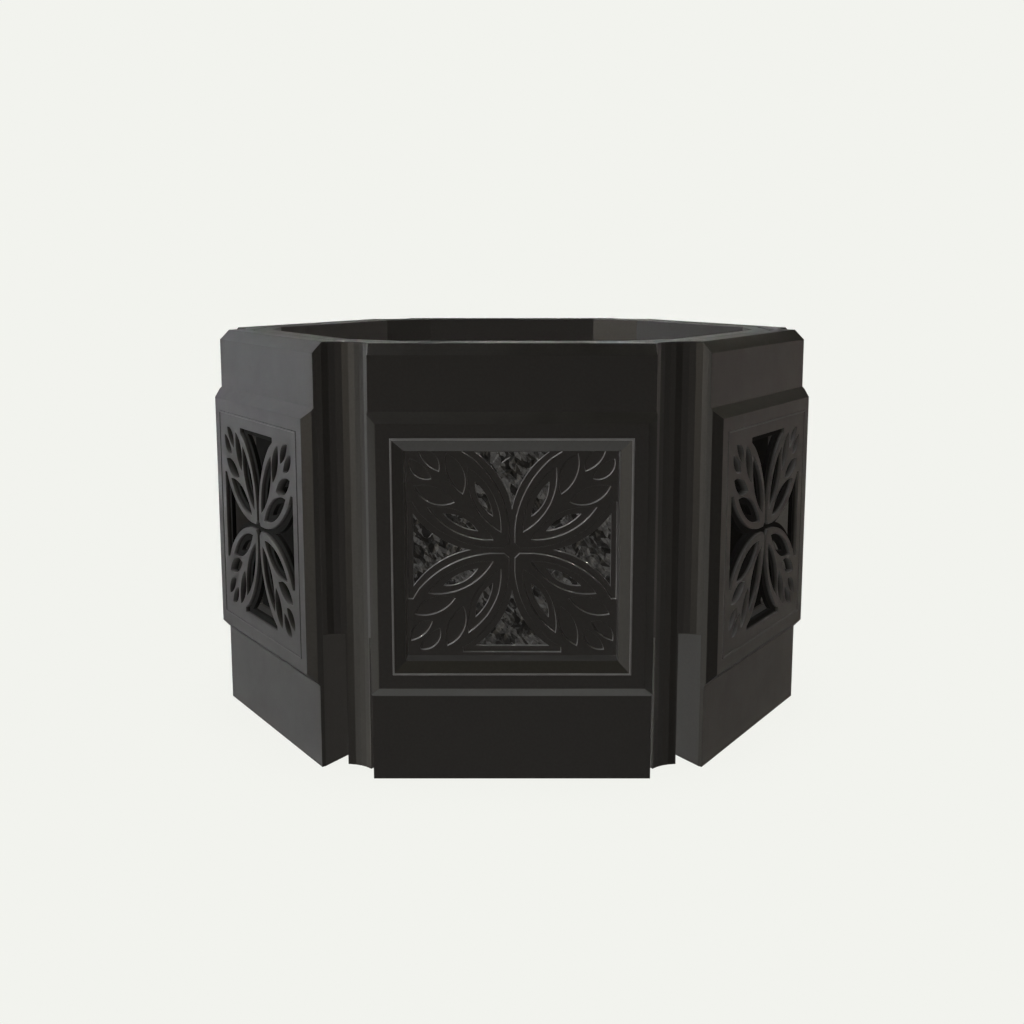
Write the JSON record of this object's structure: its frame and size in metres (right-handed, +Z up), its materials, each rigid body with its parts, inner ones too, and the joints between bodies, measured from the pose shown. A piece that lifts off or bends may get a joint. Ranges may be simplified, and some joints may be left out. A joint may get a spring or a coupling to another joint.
{
  "type": "flower pot",
  "caption": "Hexagonal floor planter with coved corner posts, chamfered side panels, square windows with leaf ornaments and a faceted planting liner that lifts out.",
  "frame": {"origin": "on the floor, under the middle of the planter", "axes": "+Z up, +X to the right of the pictured front, +Y away from it; the front panel faces -Y"},
  "size_m": [0.6246, 0.5836, 0.4],
  "materials": {
    "casting": "charcoal satin coat",
    "backing": "rough flaky dark",
    "liner_sheet": "charcoal satin coat",
    "fasteners": "dull zinc",
    "spacers": "dull zinc"
  },
  "bodies": {
    "planter": {"corner_post_front_right": "casting", "corner_post_right": "casting", "corner_post_back_right": "casting", "corner_post_back_left": "casting", "corner_post_left": "casting", "corner_post_front_left": "casting", "side_panel_front": "casting", "window_frame_front": "casting", "leaf_grille_front": "casting", "backing_plate_front": "backing", "side_panel_front_right": "casting", "window_frame_front_right": "casting", "leaf_plate_front_right": "casting", "backing_plate_front_right": "backing", "side_panel_back_right": "casting", "window_frame_back_right": "casting", "leaf_plate_back_right": "casting", "backing_plate_back_right": "backing", "side_panel_back": "casting", "window_frame_back": "casting", "leaf_grille_back": "casting", "backing_plate_back": "backing", "side_panel_back_left": "casting", "window_frame_back_left": "casting", "leaf_plate_back_left": "casting", "backing_plate_back_left": "backing", "side_panel_front_left": "casting", "window_frame_front_left": "casting", "leaf_plate_front_left": "casting", "backing_plate_front_left": "backing", "base_plate": "liner_sheet", "corner_screws": "fasteners", "corner_washers": "fasteners", "frame_screws": "fasteners", "backing_screws": "fasteners", "leaf_plate_screws": "fasteners", "base_screws": "fasteners", "base_nuts": "fasteners", "backing_spacers": "spacers"},
    "liner": {"planting_liner": "liner_sheet"}
  },
  "joints": [
    {"name": "liner_lift", "type": "slide", "parent": "planter", "child": "liner", "axis": [0, 0, 1], "range_m": [0, 0.35]}
  ]
}
